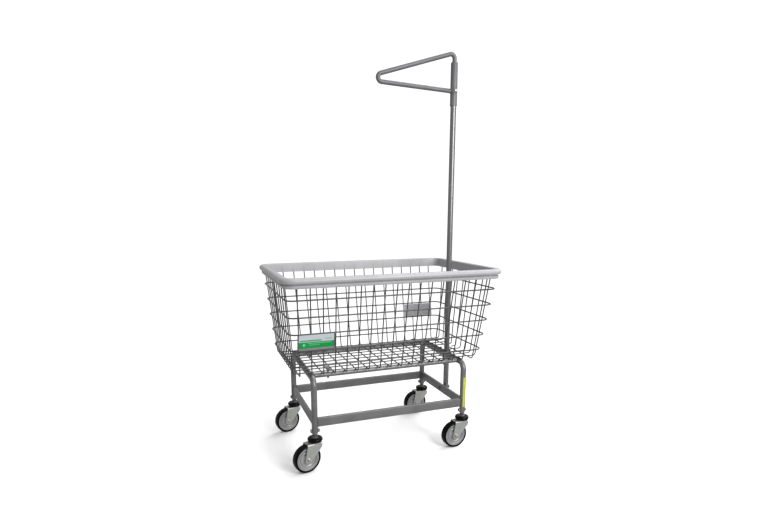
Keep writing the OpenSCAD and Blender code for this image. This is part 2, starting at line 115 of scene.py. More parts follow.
def fillet(points, r, steps=8):
    """A path through the points with each inner corner rounded to radius r."""
    points = [Vector(p) for p in points]
    path = [points[0]]
    for before, p, after in zip(points, points[1:], points[2:]):
        back, ahead = (before - p).normalized(), (after - p).normalized()
        half = back.angle(ahead) / 2
        centre = p + (back + ahead).normalized() * r / math.sin(half)
        first = p + back * r / math.tan(half) - centre
        axis = first.cross(-back).normalized()
        for i in range(steps + 1):
            turn = Matrix.Rotation((math.pi - 2 * half) * i / steps, 3, axis)
            path.append(centre + turn @ first)
    return path + [points[-1]]


def rounded_loop(half_x, half_y, r, z=0.0, steps=8):
    """A closed path round a rectangle with rounded corners, anticlockwise from above."""
    path = []
    for i, (sx, sy) in enumerate(((1, 1), (-1, 1), (-1, -1), (1, -1))):
        for x, y in arc(sx * (half_x - r), sy * (half_y - r), r, 90 * i, 90 * i + 90, steps):
            path.append(Vector((x, y, z)))
    return path


def sweep(mesh, path, section, closed=False, up=None, cap=True, swell=None):
    """Sweeps a closed section, as (side, up) pairs, along a path.

    With up given, the section keeps to it and its first coordinate points right of the
    path. Otherwise the section is carried along without twisting.
    """
    n = len(path)
    rows = []
    side = None
    for i, p in enumerate(path):
        before = path[i - 1] if i or closed else p
        after = path[(i + 1) % n] if i < n - 1 or closed else p
        if p == before or p == after:
            along = (after - before).normalized()
        else:
            along = ((p - before).normalized() + (after - p).normalized()).normalized()
        if up:
            side = along.cross(up).normalized()
        elif side is None:
            side = along.orthogonal().normalized()
        else:
            side = (side - along * side.dot(along)).normalized()
        over = side.cross(along)
        k = swell(i) if swell else 1.0
        rows.append([p + side * u * k + over * v * k for u, v in section])
    mesh.grid(rows, wrap_rows=closed, cap=cap and not closed)


def tube(mesh, path, r, sides=20, inner=None, closed=False):
    """Round bar along a path, or an open-ended tube where an inner radius is given."""
    path = [Vector(p) for p in path]
    sweep(mesh, path, circle(r, sides), closed=closed, cap=inner is None)
    if inner:
        sweep(mesh, path, circle(inner, sides), cap=False)
        count = len(path) * sides
        outer_0 = len(mesh.verts) - 2 * count
        for shift in (0, count - sides):
            ring = [outer_0 + shift + j for j in range(sides)]
            hole = [v + count for v in ring]
            for j in range(sides):
                k = (j + 1) % sides
                mesh.faces.append([ring[j], ring[k], hole[k], hole[j]])


def turned(mesh, profile, place=None, sides=48, closed=False):
    """Turns a profile of (radius, height) pairs about Z. A closed one comes back on itself."""
    rows = [[(r * c, r * s, z) for r, z in profile] for c, s in circle(1, sides)]
    mesh.grid(rows, wrap_rows=True, wrap_columns=closed, place=place)


def plate(mesh, outline, z0, z1, place=None, bevel=0.4):
    """A flat plate from an outline, with bevelled edges."""
    n = len(outline)
    area = sum(outline[i - 1][0] * outline[i][1] - outline[i][0] * outline[i - 1][1] for i in range(n))
    pts = [Vector(p) for p in (outline if area > 0 else outline[::-1])]
    inner = []
    for i, p in enumerate(pts):
        a, b = (p - pts[i - 1]).normalized(), (pts[(i + 1) % n] - p).normalized()
        bisector = Vector((-(a + b).y, (a + b).x)).normalized()
        widen = 1 / max(0.35, math.cos(a.angle(b, 0) / 2))
        inner.append(p + bisector * bevel * widen)
    levels = ((inner, z0), (pts, z0 + bevel), (pts, z1 - bevel), (inner, z1))
    mesh.grid([[(q.x, q.y, z) for q in ring] for ring, z in levels], cap=True, place=place)


def blob(mesh, size, place, sides=8, rings=5):
    """A small smooth lump, such as a weld nugget."""
    rows = []
    for i in range(1, rings):
        a = math.pi * i / rings
        ring = circle(math.sin(a), sides)
        rows.append([(x * size[0], y * size[1], math.cos(a) * size[2]) for x, y in ring])
    mesh.grid(rows, cap=True, place=place)


def weld_bead(mesh, path, r, closed=False):
    """A fillet weld along a path, with the ripples that each puddle leaves."""
    path = [Vector(p) for p in path]
    sweep(mesh, path, circle(r, 8), closed=closed, swell=lambda i: 1 + 0.16 * math.sin(i * 1.9))


def rounded_square(w, h, r, steps=4):
    """Outline of a rectangle with rounded corners, centred on zero."""
    corners = ((1, 1, 0), (-1, 1, 90), (-1, -1, 180), (1, -1, 270))
    return [
        p
        for sx, sy, start in corners
        for p in arc(sx * (w / 2 - r), sy * (h / 2 - r), r, start, start + 90, steps)
    ]


def aim(origin, z_axis, x_axis=None):
    """A placing matrix whose Z is along z_axis."""
    z = Vector(z_axis).normalized()
    x = Vector(x_axis) if x_axis else z.orthogonal()
    x = (x - z * x.dot(z)).normalized()
    turn = Matrix((x, z.cross(x), z)).transposed()
    return Matrix.Translation(Vector(origin)) @ turn.to_4x4()


def hex_head(mesh, place, across, height):
    """Hex head or nut from z = 0 up, with its corners turned down on the outer face."""
    sides = 36
    rows = []
    crown = ((0, across), (0.78, across), (0.92, across * 0.53), (1, across * 0.47))
    for level, limit in crown:
        z = height * level
        row = []
        for i in range(sides):
            a = math.tau * i / sides
            flat = across / 2 / math.cos((a + math.pi / 6) % (math.pi / 3) - math.pi / 6)
            row.append((min(flat, limit) * math.cos(a), min(flat, limit) * math.sin(a), z))
        rows.append(row)
    mesh.grid(rows, cap=True, place=place)


def threaded_end(mesh, place, r, length, pitch=1.25):
    """The end of a bolt that sticks out of its nut."""
    profile = [(0, 0), (r * 0.86, 0)]
    turns = int(length / pitch)
    for i in range(turns):
        profile += [(r, (i + 0.5) * pitch), (r * 0.86, (i + 1) * pitch)]
    profile += [(r * 0.7, length), (0, length)]
    turned(mesh, profile, place, sides=20)


# Hex bolts: diameter, width across the flats, head height and nut height
M6 = (6, 10, 4, 5)
M8 = (8, 13, 5.3, 6.5)
WASHER_T = 1.2
WASHER_SEAT = 0.8
WASHER_R = 8.5
THREAD_SHOWN = 2.2


def bolt(mesh, start, end, kind, washer=0.0):
    """A hex bolt whose head sits at start and whose nut sits at end.

    A washer, given by its radius, goes under both.
    """
    d, across, head_h, nut_h = kind
    start, end = Vector(start), Vector(end)
    length = (end - start).length
    along = (end - start).normalized()
    seat = WASHER_SEAT if washer else 0
    for at, out, height in ((start, -along, head_h), (end, along, nut_h)):
        if washer:
            turned(mesh, rounded_disc(washer, WASHER_T), aim(at - out * 0.2, out), sides=32)
        hex_head(mesh, aim(at + out * seat, out), across, height)
    shank = [(0, 0), (d / 2, 0), (d / 2, length), (0, length)]
    turned(mesh, shank, aim(start, along), sides=20)
    threaded_end(mesh, aim(end + along * (nut_h + seat - 0.1), along), d / 2, THREAD_SHOWN)


def rounded_disc(r, h, edge=0.4):
    """Profile of a flat disc with eased edges, for turned()."""
    return [(0, 0), (r - edge, 0), (r, edge), (r, h - edge), (r - edge, h), (0, h)]


def piece(name, mesh, material, body, replaces=(), sharp=35):
    """Makes the finished object: smooth shading, sharp creases, and its place on a CAD body."""
    data = bpy.data.meshes.new(name)
    data.from_pydata([v * MM for v in mesh.verts], [], mesh.faces)
    edit = bmesh.new()
    edit.from_mesh(data)
    bmesh.ops.remove_doubles(edit, verts=edit.verts, dist=0.00001)
    bmesh.ops.recalc_face_normals(edit, faces=edit.faces)
    for face in edit.faces:
        face.smooth = True
    for edge in edit.edges:
        edge.smooth = edge.is_manifold and edge.calc_face_angle(0) < math.radians(sharp)
    edit.to_mesh(data)
    edit.free()
    obj = bpy.data.objects.new(name, data)
    bpy.context.scene.collection.objects.link(obj)
    data.materials.append(material)
    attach(obj, body)
    if replaces:
        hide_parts(*replaces)
    return obj


# ---------------------------------------------------------------- materials


# How far the roughness spreads below and above its middle, and the height of the grain
SMOOTHER, ROUGHER = 0.03, 0.05
GRAIN_M = 0.0004


def finish_of(
    name, light, dark, rough,
    metallic=0.0, scale=40.0, grain=900.0, bump=0.1, coat=0.0, gloss=0.5,
):
    """A procedural finish: two tones in soft blotches, fine grain in the gloss and a slight bump."""
    mat = bpy.data.materials.new(name)
    mat.use_nodes = True
    nodes, links = mat.node_tree.nodes, mat.node_tree.links
    shader = nodes["Principled BSDF"]
    shader.inputs["Metallic"].default_value = metallic
    shader.inputs["Specular IOR Level"].default_value = gloss
    shader.inputs["Coat Weight"].default_value = coat
    shader.inputs["Coat Roughness"].default_value = 0.2

    where = nodes.new("ShaderNodeTexCoord")
    broad = nodes.new("ShaderNodeTexNoise")
    broad.inputs["Scale"].default_value = scale
    broad.inputs["Detail"].default_value = 5
    links.new(where.outputs["Object"], broad.inputs["Vector"])
    tones = nodes.new("ShaderNodeValToRGB")
    tones.color_ramp.elements[0].position = 0.3
    tones.color_ramp.elements[0].color = (*dark, 1)
    tones.color_ramp.elements[1].position = 0.7
    tones.color_ramp.elements[1].color = (*light, 1)
    links.new(broad.outputs["Fac"], tones.inputs["Fac"])
    links.new(tones.outputs["Color"], shader.inputs["Base Color"])

    fine = nodes.new("ShaderNodeTexNoise")
    fine.inputs["Scale"].default_value = grain
    fine.inputs["Detail"].default_value = 3
    links.new(where.outputs["Object"], fine.inputs["Vector"])
    spread_rough = nodes.new("ShaderNodeMapRange")
    spread_rough.inputs["To Min"].default_value = rough - SMOOTHER
    spread_rough.inputs["To Max"].default_value = rough + ROUGHER
    links.new(fine.outputs["Fac"], spread_rough.inputs["Value"])
    links.new(spread_rough.outputs["Result"], shader.inputs["Roughness"])
    relief = nodes.new("ShaderNodeBump")
    relief.inputs["Strength"].default_value = bump
    relief.inputs["Distance"].default_value = GRAIN_M
    links.new(fine.outputs["Fac"], relief.inputs["Height"])
    links.new(relief.outputs["Normal"], shader.inputs["Normal"])
    return mat


def grey(value, blue=0.0):
    """A grey, with blue and a little red added for a lilac cast."""
    return (value + blue * 0.4, value, value + blue)


enamel = finish_of(
    "satin_enamel", grey(0.185, 0.004), grey(0.145, 0.003),
    0.42, metallic=0.5, scale=16, bump=0.02,
)
pole_enamel = finish_of(
    "gloss_enamel", grey(0.19, 0.006), grey(0.16, 0.005),
    0.27, metallic=0.6, scale=12, bump=0.01,
)
hanger_enamel = finish_of(
    "hanger_satin", grey(0.135, 0.007), grey(0.11, 0.005),
    0.5, metallic=0.25, scale=16, bump=0.02,
)
panel_steel = finish_of(
    "panel_steel", grey(0.25, 0.012), grey(0.19, 0.008),
    0.42, metallic=0.35, scale=24,
)
# Painted shade: a much darker copy of the panel steel for the sign's folded edge, standing in for shade on
# the lip
panel_edge_painted_shade = finish_of("panel_edge_painted_shade", grey(0.075), grey(0.055), 0.6, scale=30)
wire = finish_of(
    "plated_wire", grey(0.078), grey(0.048),
    0.32, metallic=0.5, scale=60, grain=1500,
)
weld = finish_of(
    "weld_metal", grey(0.10), grey(0.05),
    0.45, metallic=0.6, scale=300, grain=2500, bump=0.2,
)
zinc = finish_of(
    "zinc_plate", (0.46, 0.47, 0.445), (0.38, 0.39, 0.365),
    0.34, metallic=0.7, scale=55, grain=1100, bump=0.08,
)
vinyl = finish_of(
    "rim_vinyl", grey(0.36, 0.012), grey(0.31, 0.009),
    0.42, scale=14, grain=1400, bump=0.12, coat=0.1,
)
rubber = finish_of(
    "bumper_rubber", grey(0.003, 0.0004), grey(0.0015),
    0.28, scale=70, grain=1800, gloss=0.10,
)
tread = finish_of(
    "tyre_rubber", grey(0.0025), grey(0.001),
    0.26, scale=60, grain=1500, gloss=0.07,
)
nylon = finish_of(
    "wheel_nylon", grey(0.38, 0.008), grey(0.31, 0.005),
    0.30, metallic=0.2, scale=30, grain=1300,
)
acetal = finish_of("bush_acetal", (0.62, 0.58, 0.46), (0.55, 0.51, 0.40), 0.4)
silver_print = finish_of(
    "sign_silver", (0.50, 0.54, 0.565), (0.45, 0.49, 0.515),
    0.32, metallic=0.1, scale=25,
)
green_print = finish_of(
    "sign_green", (0.002, 0.27, 0.058), (0.001, 0.235, 0.048),
    0.45, scale=25, gloss=0.2,
)
deep_print = finish_of("sign_deep_marks", (0.05, 0.25, 0.13), (0.04, 0.21, 0.11), 0.4)
pale_print = finish_of("sign_pale_marks", (0.22, 0.50, 0.32), (0.18, 0.44, 0.28), 0.4)
yellow = finish_of(
    "label_yellow", (0.50, 0.51, 0.02), (0.42, 0.43, 0.015),
    0.35, scale=60, coat=0.2,
)


# ---------------------------------------------------------------- basket

WIRE_R = 2.5
RING_R = 3.0
ROD_R = 4.0
WELD_GAP = 0.25
ROD_GAP = 0.35
WIRE_BEND = 12
CROSS_EACH_SIDE = 8
LONG_EACH_SIDE = 4
RINGS = [f"ring_wire_{i}" for i in range(1, 6)]
RING_CORNER = 32
ROD_CORNER = 44
RING_NUGGET = (2.9, 2.5, 1.3)
FLOOR_NUGGET = (2.6, 2.6, 1.2)
RIDGE = (3.4, 15, 0.7)
NUGGET_OUT = WIRE_R + 0.1
POLE_CLEARANCE = 12

cross_low, cross_high = box("cross_wires")
long_low, long_high = box("long_wires")
cross_z = cross_low.z + WIRE_R
long_z = long_low.z + WIRE_R
wire_top = cross_high.z
rim_z = middle("rim_rod").z
to_ring = WIRE_R + RING_R + WELD_GAP

# The walls are straight lines from floor to rim, so two rings give their slopes
ring_top, ring_foot = box(RINGS[0])[1], box(RINGS[-1])[1]
rise = ring_top.z - ring_foot.z


def wall(z):
    """Half length and half width between the uprights' centre lines, at a height."""
    k = (z + RING_R - ring_foot.z) / rise
    edge = ring_foot.lerp(ring_top, k)
    return edge.x - RING_R - to_ring, edge.y - RING_R - to_ring


CROSS_FLOOR_PITCH = 49.1
CROSS_FLOOR_SHIFT = -4.0
LONG_FLOOR_PITCH = 44.0

# The tops of the uprights, from the box of each set
cross_top_pitch = ((cross_high.x - cross_low.x) / 2 - WIRE_R) / CROSS_EACH_SIDE
cross_top_shift = (cross_high.x + cross_low.x) / 2
long_top_pitch = (long_high.y - WIRE_R) / LONG_EACH_SIDE


def grade(z, at_floor, at_top):
    """A value that changes evenly from the wire floor to the tops of the uprights."""
    return at_floor + (at_top - at_floor) * (z - cross_z) / (wire_top - cross_z)


def cross_x(i, z):
    shift = grade(z, CROSS_FLOOR_SHIFT, cross_top_shift)
    return i * grade(z, CROSS_FLOOR_PITCH, cross_top_pitch) + shift


def long_y(i, z):
    return i * grade(z, LONG_FLOOR_PITCH, long_top_pitch)


def spread(count):
    return range(-count, count + 1)


pole = middle("pole_lower")
pole_r = (box("pole_lower")[1].x - box("pole_lower")[0].x) / 2
long_cut = pole_r + POLE_CLEARANCE


def make_cross_wires():
    mesh = Mesh()
    for i in spread(CROSS_EACH_SIDE):
        top, foot = cross_x(i, wire_top), cross_x(i, cross_z)
        reach_top, reach_foot = wall(wire_top)[1], wall(cross_z)[1]
        path = [
            (top, -reach_top, wire_top), (foot, -reach_foot, cross_z),
            (foot, reach_foot, cross_z), (top, reach_top, wire_top),
        ]
        tube(mesh, fillet(path, WIRE_BEND), WIRE_R, sides=14)
    piece("cross_wires_shown", mesh, wire, "cart", ["cross_wires"])


def make_long_wires():
    mesh = Mesh()
    for i in spread(LONG_EACH_SIDE):
        top, foot = long_y(i, wire_top), long_y(i, long_z)
        reach_top, reach_foot = wall(wire_top)[0], wall(long_z)[0]
        path = [
            (-reach_top, top, wire_top), (-reach_foot, foot, long_z),
            (reach_foot, foot, long_z), (reach_top, top, wire_top),
        ]
        if i:
            tube(mesh, fillet(path, WIRE_BEND), WIRE_R, sides=14)
        else:
            tube(mesh, fillet([*path[:2], (pole.x - long_cut, foot, long_z)], WIRE_BEND), WIRE_R, sides=14)
            tube(mesh, fillet([(pole.x + long_cut, foot, long_z), *path[2:]], WIRE_BEND), WIRE_R, sides=14)
    piece("long_wires_shown", mesh, wire, "cart", ["long_wires"])


def make_rings():
    for name in RINGS:
        z = middle(name).z
        reach_x, reach_y = wall(z)
        path = rounded_loop(reach_x + to_ring, reach_y + to_ring, RING_CORNER, z)
        mesh = Mesh()
        tube(mesh, path, RING_R, sides=16, closed=True)
        piece(name + "_shown", mesh, wire, "cart", [name])


def make_welds():
    """Resistance weld nuggets, where every upright crosses a ring and where floor wires cross."""
    mesh = Mesh()
    for name in RINGS:
        z = middle(name).z
        reach_x, reach_y = wall(z)
        for side in (-1, 1):
            for i in spread(CROSS_EACH_SIDE):
                at = (cross_x(i, z), side * (reach_y + NUGGET_OUT), z)
                blob(mesh, RING_NUGGET, aim(at, (0, side, 0), (1, 0, 0)))
            for i in spread(LONG_EACH_SIDE):
                at = (side * (reach_x + NUGGET_OUT), long_y(i, z), z)
                blob(mesh, RING_NUGGET, aim(at, (side, 0, 0), (0, 1, 0)))
    weld_z = (cross_z + long_z) / 2
    for i in spread(CROSS_EACH_SIDE):
        for j in spread(LONG_EACH_SIDE):
            x, y = cross_x(i, cross_z), long_y(j, long_z)
            if j or abs(x - pole.x) > long_cut:
                blob(mesh, FLOOR_NUGGET, Matrix.Translation((x, y, weld_z)))
    piece("wire_welds", mesh, weld, "cart")


def make_rim():
    reach_x, reach_y = wall(rim_z)
    rod_out = WIRE_R + ROD_R + ROD_GAP
    path = rounded_loop(reach_x + rod_out, reach_y + rod_out, ROD_CORNER, rim_z)
    mesh = Mesh()
    tube(mesh, path, ROD_R, sides=16, closed=True)
    piece("rim_rod_shown", mesh, wire, "cart", ["rim_rod"])

    # Section of the extrusion: flat inner skin, rolled top, round bulge, groove and lower lip
    skin, slot, lip, bulge = -11.0, -7.8, 8.5, 13.5
    low = box("rim_bumper")[0].z - rim_z
    section = [(skin + 0.8, low), (skin, low + 0.8), (skin + 1.4, bulge - 4.5)]
    section += arc(skin + 5.4, bulge - 4.5, 4, 180, 100, 5)
    section += [(-1.0, bulge - 0.25)]
    section += arc(lip, 0, bulge, 88, 8, 14)
    section += [(21.4, -1.6), (20.2, -4.8)] + arc(17.0, -5.6, 2.6, 0, -75, 5)
    section += [(9.6, -9.4), (6.6, -10.2), (6.4, -14.2), (9.0, -14.9)]
    section += arc(10.8, -16.8, 1.6, 80, 0, 4) + [(10.4, low + 1.6), (9.2, low), (5.2, low)]
    section += [(5.0, -8.0), (11.0, -8.0), (11.2, 6.5), (slot, 6.5), (slot, low)]
    mesh = Mesh()
    path = rounded_loop(reach_x, reach_y, ROD_CORNER - rod_out, rim_z, steps=14)
    sweep(mesh, path, section, closed=True, up=Vector((0, 0, 1)))
    # The uprights press faint ridges into the inner skin
    ridge_z = rim_z + (low + bulge) / 2 - 1
    ridge_in = skin + 0.7
    for side in (-1, 1):
        for i in spread(CROSS_EACH_SIDE):
            at = (cross_x(i, rim_z), side * (reach_y + ridge_in), ridge_z)
            blob(mesh, RIDGE, aim(at, (0, -side, 0.06), (1, 0, 0)), sides=12, rings=8)
        for i in spread(LONG_EACH_SIDE):
            at = (side * (reach_x + ridge_in), long_y(i, rim_z), ridge_z)
            blob(mesh, RIDGE, aim(at, (-side, 0, 0.06), (0, 1, 0)), sides=12, rings=8)
    piece("rim_bumper_shown", mesh, vinyl, "cart", ["rim_bumper"], sharp=40)


STRAP_W = 18.0
STRAP_SPARE = 12.0
STRAP_CORNER = 4.0
CLIP_HEAD = 11.5
CLIP_HEAD_H = 4.0
CLIP_NUT_H = 7.0


def make_floor_clips():
    """Straps over two floor wires each, held down to the upper rails by one bolt."""
    low, high = box("basket_clips")
    bolt_low, bolt_high = box("clip_bolts")
    clip_x = high.x - STRAP_W / 2
    clip_y = bolt_high.y - CLIP_HEAD / math.sqrt(3)
    strap_end = high.y
    strap_start = strap_end - LONG_FLOOR_PITCH - STRAP_SPARE
    outline = rounded_square(STRAP_W, strap_end - strap_start, STRAP_CORNER)
    straps, bolts = Mesh(), Mesh()
    for sx in (-1, 1):
        for sy in (-1, 1):
            middle_y = sy * (strap_start + strap_end) / 2
            place = Matrix.Translation((sx * clip_x, middle_y, 0))
            plate(straps, outline, low.z, high.z, place, 0.5)
            head = (sx * clip_x, sy * clip_y, bolt_high.z - CLIP_HEAD_H)
            foot = (sx * clip_x, sy * clip_y, bolt_low.z + CLIP_NUT_H)
            bolt(bolts, head, foot, M6)
    piece("basket_clips_shown", straps, enamel, "cart", ["basket_clips"])
    piece("clip_bolts_shown", bolts, enamel, "cart", ["clip_bolts"])


def wall_place(node, side, depth):
    """Placing matrix for a flat piece on a side wall: x along the cart, y up the wall, z outwards.

    Its z = 0 is the piece's inner face, and depth is its whole thickness.
    """
    at = middle(node)
    lean = wall(at.z + 10)[1] - wall(at.z - 10)[1]
    up = Vector((0, side * lean, 20)).normalized()
    along = Vector((-side, 0, 0))
    out = along.cross(up)
    turn = Matrix((along, up, out)).transposed()
    return Matrix.Translation(at - out * depth / 2) @ turn.to_4x4()


SIGN_H = 73.0
SIGN_DEPTH = 3.5
SIGN_LIP = 5.0
SIGN_STRIP = 6.0
CARD_FACE = 2.4
MARK_LOW, MARK_FACE = 2.3, 2.55
GREEN_SHARE = 0.46
CARD_GAP = 0.2
PANEL_T = 1.5
PLATE_H = 62.5
SPOT_RISE = 20.0
WELD_MARGIN = 30.0
SPOT_NUGGET = (3.0, 3.0, 1.7)
PANEL_EDGE = 0.3
PRINT_EDGE = 0.05


def flat_print(mesh, x0, x1, y0, y1, z0, z1, place):
    """A thin printed area on the sign."""
    plate(mesh, [(x0, y0), (x1, y0), (x1, y1), (x0, y1)], z0, z1, place, PRINT_EDGE)


def make_front_sign():
    place = wall_place("front_sign_frame", -1, SIGN_DEPTH)
    low, high = box("front_sign_frame")
    w = high.x - low.x
    mesh = Mesh()
    plate(mesh, rounded_square(w, SIGN_H, 2), 0, PANEL_T, place, PANEL_EDGE)
    piece("front_sign_frame_shown", mesh, panel_steel, "cart", ["front_sign_frame"])

    # Folded edge all round, swept as a small square bar, in a dark paint that is painted shade on the lip
    mesh = Mesh()
    loop = rounded_square(w - SIGN_LIP, SIGN_H - SIGN_LIP, 1.6)
    path = [place @ Vector((x, y, SIGN_DEPTH / 2 + 0.3)) for x, y in loop]
    bar = rounded_square(SIGN_LIP, SIGN_DEPTH - 0.8, 0.5, 2)
    sweep(mesh, path, bar, closed=True, up=place.to_3x3() @ Vector((0, 0, 1)))
    piece("front_sign_frame_edge_painted_shade", mesh, panel_edge_painted_shade, "cart")
    # Plain strip of the holder that shows under the card
    mesh = Mesh()
    foot = -SIGN_H / 2 + 1.2
    card_foot = -SIGN_H / 2 + SIGN_LIP + SIGN_STRIP
    flat_print(mesh, -w / 2 + SIGN_LIP, w / 2 - SIGN_LIP, foot, card_foot, PANEL_T - 0.3, SIGN_DEPTH, place)
    piece("front_sign_frame_strip", mesh, panel_steel, "cart")

    side = w / 2 - SIGN_LIP - CARD_GAP
    head = SIGN_H / 2 - SIGN_LIP - CARD_GAP
    split = card_foot + (head - card_foot) * GREEN_SHARE
    silver, green, deep, pale = Mesh(), Mesh(), Mesh(), Mesh()
    flat_print(silver, -side, side, split, head, PANEL_T, CARD_FACE, place)
    flat_print(green, -side, side, card_foot, split, PANEL_T, CARD_FACE, place)
    # Plain bars and a dot stand for the printing, with no lettering
    for mesh, x0, x1, y, tall in (
        (deep, -66, 20, split + 3.0, 5.2), (deep, 34, 62, split + 10, 2.2),
        (pale, -36, 60, split - 7, 2.4), (pale, -30, 14, split - 14, 1.6),
    ):
        flat_print(mesh, x0, x1, y, y + tall, MARK_LOW, MARK_FACE, place)
    dot = place @ Matrix.Translation((-50, split - 12, 0))
    plate(pale, circle(5.5, 24), MARK_LOW, MARK_FACE, dot, PRINT_EDGE)
    piece("front_sign_card_silver", silver, silver_print, "cart", ["front_sign_card"])
    piece("front_sign_card_green", green, green_print, "cart")
    piece("front_sign_card_deep_marks", deep, deep_print, "cart")
    piece("front_sign_card_pale_marks", pale, pale_print, "cart")


def make_rear_plate():
    place = wall_place("rear_plate", 1, PANEL_T)
    low, high = box("rear_plate")
    mesh = Mesh()
    plate(mesh, rounded_square(high.x - low.x, PLATE_H, 2.5), 0, PANEL_T, place, PANEL_EDGE)
    piece("rear_plate_shown", mesh, panel_steel, "cart", ["rear_plate"])

    # Spot welds on the face towards the basket, where the plate crosses an upright
    at = (low + high) / 2
    mesh = Mesh()
    for i in spread(CROSS_EACH_SIDE):
        x = at.x - cross_x(i, at.z)
        if abs(x) < (high.x - low.x) / 2 - WELD_MARGIN:
            for y in (-SPOT_RISE, SPOT_RISE):
                blob(mesh, SPOT_NUGGET, place @ Matrix.Translation((x, y, 0)), sides=12)
    piece("rear_plate_welds", mesh, zinc, "cart")


# ---------------------------------------------------------------- base

TUBE_WALL = 1.65
FRAME_BEND = 32
# How far short of the end frames' axes the rails stop, inside the tubes
TOP_RAIL_SHORT = 6
LOWER_RAIL_SHORT = 7
TOP_BEAD_R = 1.7
LOWER_BEAD_R = 1.6
tube_r = pole_r
frame_top = box("left_end_frame")[1]
frame_foot = box("left_end_frame")[0]
leg_y = frame_top.y - tube_r
top_tube_z = frame_top.z - tube_r - 0.1


def leg_x(side):
    return middle("right_end_frame" if side > 0 else "left_end_frame").x


def saddle(centre_x, z, y, r_small, r_big, side):
    """Closed path where a bar of radius r_small along X meets a tube of radius r_big along Y."""
    path = []
    for c, s in circle(r_small, 28):
        out = math.sqrt(r_big**2 - (s * 0.9) ** 2)
        path.append((centre_x - side * out, y + c, z + s))
    return path


def make_end_frames():
    for side, name in ((-1, "left_end_frame"), (1, "right_end_frame")):
        x = leg_x(side)
        path = [
            (x, -leg_y, frame_foot.z), (x, -leg_y, top_tube_z),
            (x, leg_y, top_tube_z), (x, leg_y, frame_foot.z),
        ]
        mesh = Mesh()
        tube(mesh, fillet(path, FRAME_BEND, 14), tube_r, sides=36, inner=tube_r - TUBE_WALL)
        piece(name + "_shown", mesh, enamel, "cart", [name])


def make_rails():
    beads = Mesh()
    for name in ("front_top_rail", "rear_top_rail"):
        low, high = box(name)
        at, r = (low + high) / 2, (high.z - low.z) / 2
        mesh = Mesh()
        ends = [(leg_x(s) - s * TOP_RAIL_SHORT, at.y, at.z) for s in (-1, 1)]
        tube(mesh, ends, r, sides=32)
        piece(name + "_shown", mesh, enamel, "cart", [name])
        for side in (-1, 1):
            path = saddle(leg_x(side), at.z, at.y, r + 0.6, tube_r + 0.4, side)
            weld_bead(beads, path, TOP_BEAD_R, closed=True)

    for name in ("front_lower_rail", "rear_lower_rail", "left_lower_rail", "right_lower_rail"):
        low, high = box(name)
        at, size = (low + high) / 2, high - low
        lengthways = size.x > size.y
        thick = size.y if lengthways else size.x
        reach = leg_x(1) if lengthways else leg_y
        mesh = Mesh()
        section = rounded_square(thick, size.z, 2.2, 5)
        end = reach - LOWER_RAIL_SHORT
        if lengthways:
            ends = [Vector((s * end, at.y, at.z)) for s in (-1, 1)]
        else:
            ends = [Vector((at.x, s * end, at.z)) for s in (-1, 1)]
        sweep(mesh, ends, section, up=Vector((0, 0, 1)))
        piece(name + "_shown", mesh, enamel, "cart", [name])
        # Fillet weld round each end, on the leg
        for s in (-1, 1):
            path = []
            for u, v in rounded_square(thick + 1.2, size.z + 1.2, 2.6, 3):
                out = reach - math.sqrt((tube_r + 0.3) ** 2 - u * u)
                path.append((s * out, at.y + u, at.z + v) if lengthways else (at.x + u, s * out, at.z + v))
            path = [Vector(p) for p in path]
            dense = []
            for a, b in zip(path, path[1:] + path[:1]):
                steps = max(1, int((b - a).length / LOWER_BEAD_R))
                dense += [a.lerp(b, k / steps) for k in range(steps)]
            weld_bead(beads, dense, LOWER_BEAD_R, closed=True)
    piece("frame_welds", beads, weld, "cart")


LABEL_START, LABEL_SWEEP = 246, 44
LABEL_T = 0.25


def make_leg_label():
    """A strip bent round the leg, from one angle about it to another."""
    low, high = box("leg_label")
    x, y = leg_x(1), -leg_y
    r = tube_r + 0.2
    face = r + LABEL_T
    edges = ((r, low.z), (face, low.z + 0.3), (face, high.z - 0.3), (r, high.z))
    rows = []
    steps = 14
    for i in range(steps + 1):
        a = math.radians(LABEL_START + LABEL_SWEEP * i / steps)
        rows.append([(x + out * math.cos(a), y + out * math.sin(a), z) for out, z in edges])
    mesh = Mesh()
    mesh.grid(rows, wrap_columns=False)
    piece("leg_label_shown", mesh, yellow, "cart", ["leg_label"])


# ---------------------------------------------------------------- pole and hanger


COUPLER_WALL = 2
SPACER_R = 9
SADDLE_DEPTH = 1.5


def make_pole():
    ease = 0.5
    for name in ("pole_lower", "pole_upper"):
        low, high = box(name)
        mesh = Mesh()
        profile = [
            (tube_r - TUBE_WALL, low.z), (tube_r - ease, low.z), (tube_r, low.z + ease),
            (tube_r, high.z - ease), (tube_r - ease, high.z), (tube_r - TUBE_WALL, high.z),
        ]
        turned(mesh, profile, Matrix.Translation((pole.x, pole.y, 0)), sides=40, closed=True)
        piece(name + "_shown", mesh, pole_enamel, "cart", [name])

    low, high = box("pole_coupler")
    mesh = Mesh()
    r = tube_r - TUBE_WALL - 0.1
    profile = [(r - COUPLER_WALL, low.z), (r, low.z), (r, high.z), (r - COUPLER_WALL, high.z)]
    turned(mesh, profile, Matrix.Translation((pole.x, pole.y, 0)), closed=True)
    piece("pole_coupler_shown", mesh, zinc, "cart", ["pole_coupler"])

    # Spacers between the pole and the base, each with one bolt through
    spacers, bolts = Mesh(), Mesh()
    rail_in, rail_out = box("right_lower_rail")
    for z, inner, start in (
        (top_tube_z, leg_x(1) - tube_r, leg_x(1) + tube_r - SADDLE_DEPTH),
        (middle("right_lower_rail").z, rail_in.x, rail_out.x),
    ):
        tube(spacers, [(start, 0, z), (pole.x - tube_r + SADDLE_DEPTH, 0, z)], SPACER_R, sides=32)
        bolt(bolts, (pole.x + tube_r, 0, z), (inner, 0, z), M8, washer=WASHER_R)
    piece("pole_spacers_shown", spacers, enamel, "cart", ["pole_spacers"])
    piece("pole_bolts_shown", bolts, enamel, "cart", ["pole_bolts"])


HANGER_BAR_R = 9.5
HANGER_BEND = 17.5
